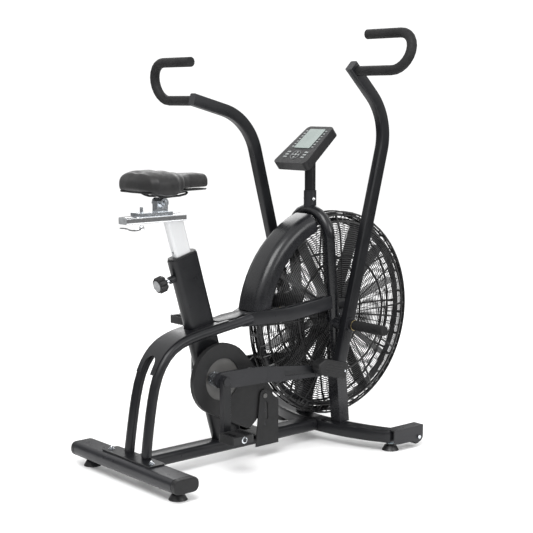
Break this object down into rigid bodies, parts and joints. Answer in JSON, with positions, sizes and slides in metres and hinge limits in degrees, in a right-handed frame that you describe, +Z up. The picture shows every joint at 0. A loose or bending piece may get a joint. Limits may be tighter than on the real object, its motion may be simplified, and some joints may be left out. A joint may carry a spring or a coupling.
{
  "type": "air bike",
  "caption": "Upright air bike: a caged fan turned by belts from the pedals, with swinging pull handles, adjustable saddle, tilted console and levelling feet.",
  "frame": {"origin": "on the floor, in the middle of the bike's length and width", "axes": "+X forward from the saddle to the fan, +Y to the rider's left, +Z up"},
  "size_m": [1.243, 0.7816, 1.402],
  "materials": {
    "black_paint": "satin",
    "black_plastic": "matte",
    "black_rubber": "matte",
    "grey_plastic": "satin",
    "silver_tube": "satin",
    "zinc_steel": "bright",
    "saddle_skin": "matte",
    "screen_glass": "gloss"
  },
  "bodies": {
    "frame": {"arch_cover_plate": "black_paint", "arch_tube_left": "black_paint", "arch_tube_right": "black_paint", "base_rail": "black_paint", "belt_guard": "black_plastic", "console_case": "black_plastic", "console_mast": "black_paint", "console_screen": "screen_glass", "crank_belt": "black_rubber", "crank_housing": "black_paint", "fan_axle": "zinc_steel", "fan_belt": "black_rubber", "fan_cage_band": "black_paint", "fan_grille_left": "black_paint", "fan_grille_right": "black_paint", "fan_shroud": "black_paint", "foot_peg_left": "black_rubber", "foot_peg_right": "black_rubber", "front_fork": "black_paint", "front_stabilizer": "black_paint", "jackshaft_bracket": "black_paint", "lever_axle_left": "zinc_steel", "lever_axle_right": "zinc_steel", "rear_cap_left": "black_plastic", "rear_cap_right": "black_plastic", "rear_mount_plate": "black_paint", "rear_stabilizer": "black_paint", "seat_tube": "black_paint", "seat_tube_sleeve": "black_plastic", "yoke": "black_paint"},
    "crank": {"crank_spindle": "zinc_steel", "crank_pulley": "grey_plastic", "crank_arm_left": "black_paint", "crank_arm_right": "black_paint"},
    "jackshaft_wheel": {"jackshaft": "zinc_steel"},
    "fan": {"fan_rotor": "black_paint"},
    "seat_height": {"seat_post": "silver_tube", "seat_slide_rail": "zinc_steel"},
    "seat_slide": {"seat_carriage": "zinc_steel"},
    "seat_top": {"saddle": "saddle_skin", "saddle_rails": "black_paint"},
    "slide_clamp": {"slide_clamp_lever": "zinc_steel"},
    "height_pin_knob": {"height_pin": "black_plastic"},
    "pedal_right_cage": {"pedal_right": "black_plastic"},
    "link_right": {"link_bar_right": "black_paint"},
    "lever_right": {"handle_lever_right": "black_paint", "grip_right": "black_rubber", "joint_cover_right": "black_plastic"},
    "pedal_left_cage": {"pedal_left": "black_plastic"},
    "link_left": {"link_bar_left": "black_paint"},
    "lever_left": {"handle_lever_left": "black_paint", "grip_left": "black_rubber", "joint_cover_left": "black_plastic"},
    "foot_rear_right": {"levelling_foot_rear_right": "black_rubber"},
    "foot_rear_left": {"levelling_foot_rear_left": "black_rubber"},
    "foot_front_right": {"levelling_foot_front_right": "black_rubber"},
    "foot_front_left": {"levelling_foot_front_left": "black_rubber"},
    "wheel_right": {"transport_wheel_right": "black_rubber"},
    "wheel_left": {"transport_wheel_left": "black_rubber"}
  },
  "joints": [
    {"name": "crank_spin", "type": "hinge", "parent": "frame", "child": "crank", "pos_m": [-0.266, 0, 0.288], "axis": [0, 1, 0], "continuous": true},
    {"name": "jackshaft_spin", "type": "hinge", "parent": "frame", "child": "jackshaft_wheel", "pos_m": [-0.095, 0, 0.2095], "axis": [0, 1, 0], "continuous": true},
    {"name": "fan_spin", "type": "hinge", "parent": "frame", "child": "fan", "pos_m": [0.2675, 0, 0.439], "axis": [0, 1, 0], "continuous": true},
    {"name": "pedal_right_spin", "type": "hinge", "parent": "crank", "child": "pedal_right_cage", "pos_m": [-0.30538, -0.1785, 0.12845], "axis": [0, 1, 0], "continuous": true},
    {"name": "link_right_turn", "type": "hinge", "parent": "crank", "child": "link_right", "pos_m": [-0.30538, -0.107, 0.29745], "axis": [0, 1, 0], "continuous": true},
    {"name": "lever_right_swing", "type": "hinge", "parent": "frame", "child": "lever_right", "pos_m": [0.202, -0.148, 0.424], "axis": [0, 1, 0], "range_deg": [-29.9, 0]},
    {"name": "pedal_left_spin", "type": "hinge", "parent": "crank", "child": "pedal_left_cage", "pos_m": [-0.22662, 0.1785, 0.44755], "axis": [0, 1, 0], "continuous": true},
    {"name": "link_left_turn", "type": "hinge", "parent": "crank", "child": "link_left", "pos_m": [-0.22662, 0.107, 0.27855], "axis": [0, 1, 0], "continuous": true},
    {"name": "lever_left_swing", "type": "hinge", "parent": "frame", "child": "lever_left", "pos_m": [0.202, 0.148, 0.424], "axis": [0, 1, 0], "range_deg": [0, 29.9]},
    {"name": "seat_height_slide", "type": "slide", "parent": "frame", "child": "seat_height", "axis": [-0.2773, 0, 0.9608], "range_m": [-0.08, 0.09]},
    {"name": "seat_fore_aft_slide", "type": "slide", "parent": "seat_height", "child": "seat_slide", "axis": [1, 0, 0], "range_m": [-0.04, 0.05]},
    {"name": "saddle_tilt", "type": "hinge", "parent": "seat_slide", "child": "seat_top", "pos_m": [-0.458, 0, 0.86], "axis": [0, 1, 0], "range_deg": [-10, 10]},
    {"name": "slide_clamp_turn", "type": "hinge", "parent": "seat_height", "child": "slide_clamp", "pos_m": [-0.528, 0, 0.785], "axis": [0, 0, 1], "range_deg": [0, 90]},
    {"name": "height_pin_pull", "type": "slide", "parent": "frame", "child": "height_pin_knob", "axis": [-0.9608, 0, -0.2773], "range_m": [0, 0.015], "stiffness_N_per_m": 1200, "springref_m": -0.005},
    {"name": "foot_rear_right_screw", "type": "slide", "parent": "frame", "child": "foot_rear_right", "axis": [0, 0, 1], "range_m": [-0.012, 0.004]},
    {"name": "foot_rear_left_screw", "type": "slide", "parent": "frame", "child": "foot_rear_left", "axis": [0, 0, 1], "range_m": [-0.012, 0.004]},
    {"name": "foot_front_right_screw", "type": "slide", "parent": "frame", "child": "foot_front_right", "axis": [0, 0, 1], "range_m": [-0.012, 0.004]},
    {"name": "foot_front_left_screw", "type": "slide", "parent": "frame", "child": "foot_front_left", "axis": [0, 0, 1], "range_m": [-0.012, 0.004]},
    {"name": "wheel_right_roll", "type": "hinge", "parent": "frame", "child": "wheel_right", "pos_m": [0.384, -0.293, 0.036], "axis": [0, 1, 0], "continuous": true},
    {"name": "wheel_left_roll", "type": "hinge", "parent": "frame", "child": "wheel_left", "pos_m": [0.384, 0.293, 0.036], "axis": [0, 1, 0], "continuous": true}
  ],
  "couplings": [
    {"joint": "jackshaft_spin", "follows": "crank_spin", "ratio": 3.8462},
    {"joint": "fan_spin", "follows": "crank_spin", "ratio": 7.0513},
    {"joint": "link_right_turn", "follows": "crank_spin", "ratio": -1},
    {"joint": "link_left_turn", "follows": "crank_spin", "ratio": -1},
    {"joint": "lever_left_swing", "follows": "lever_right_swing", "ratio": -1}
  ]
}
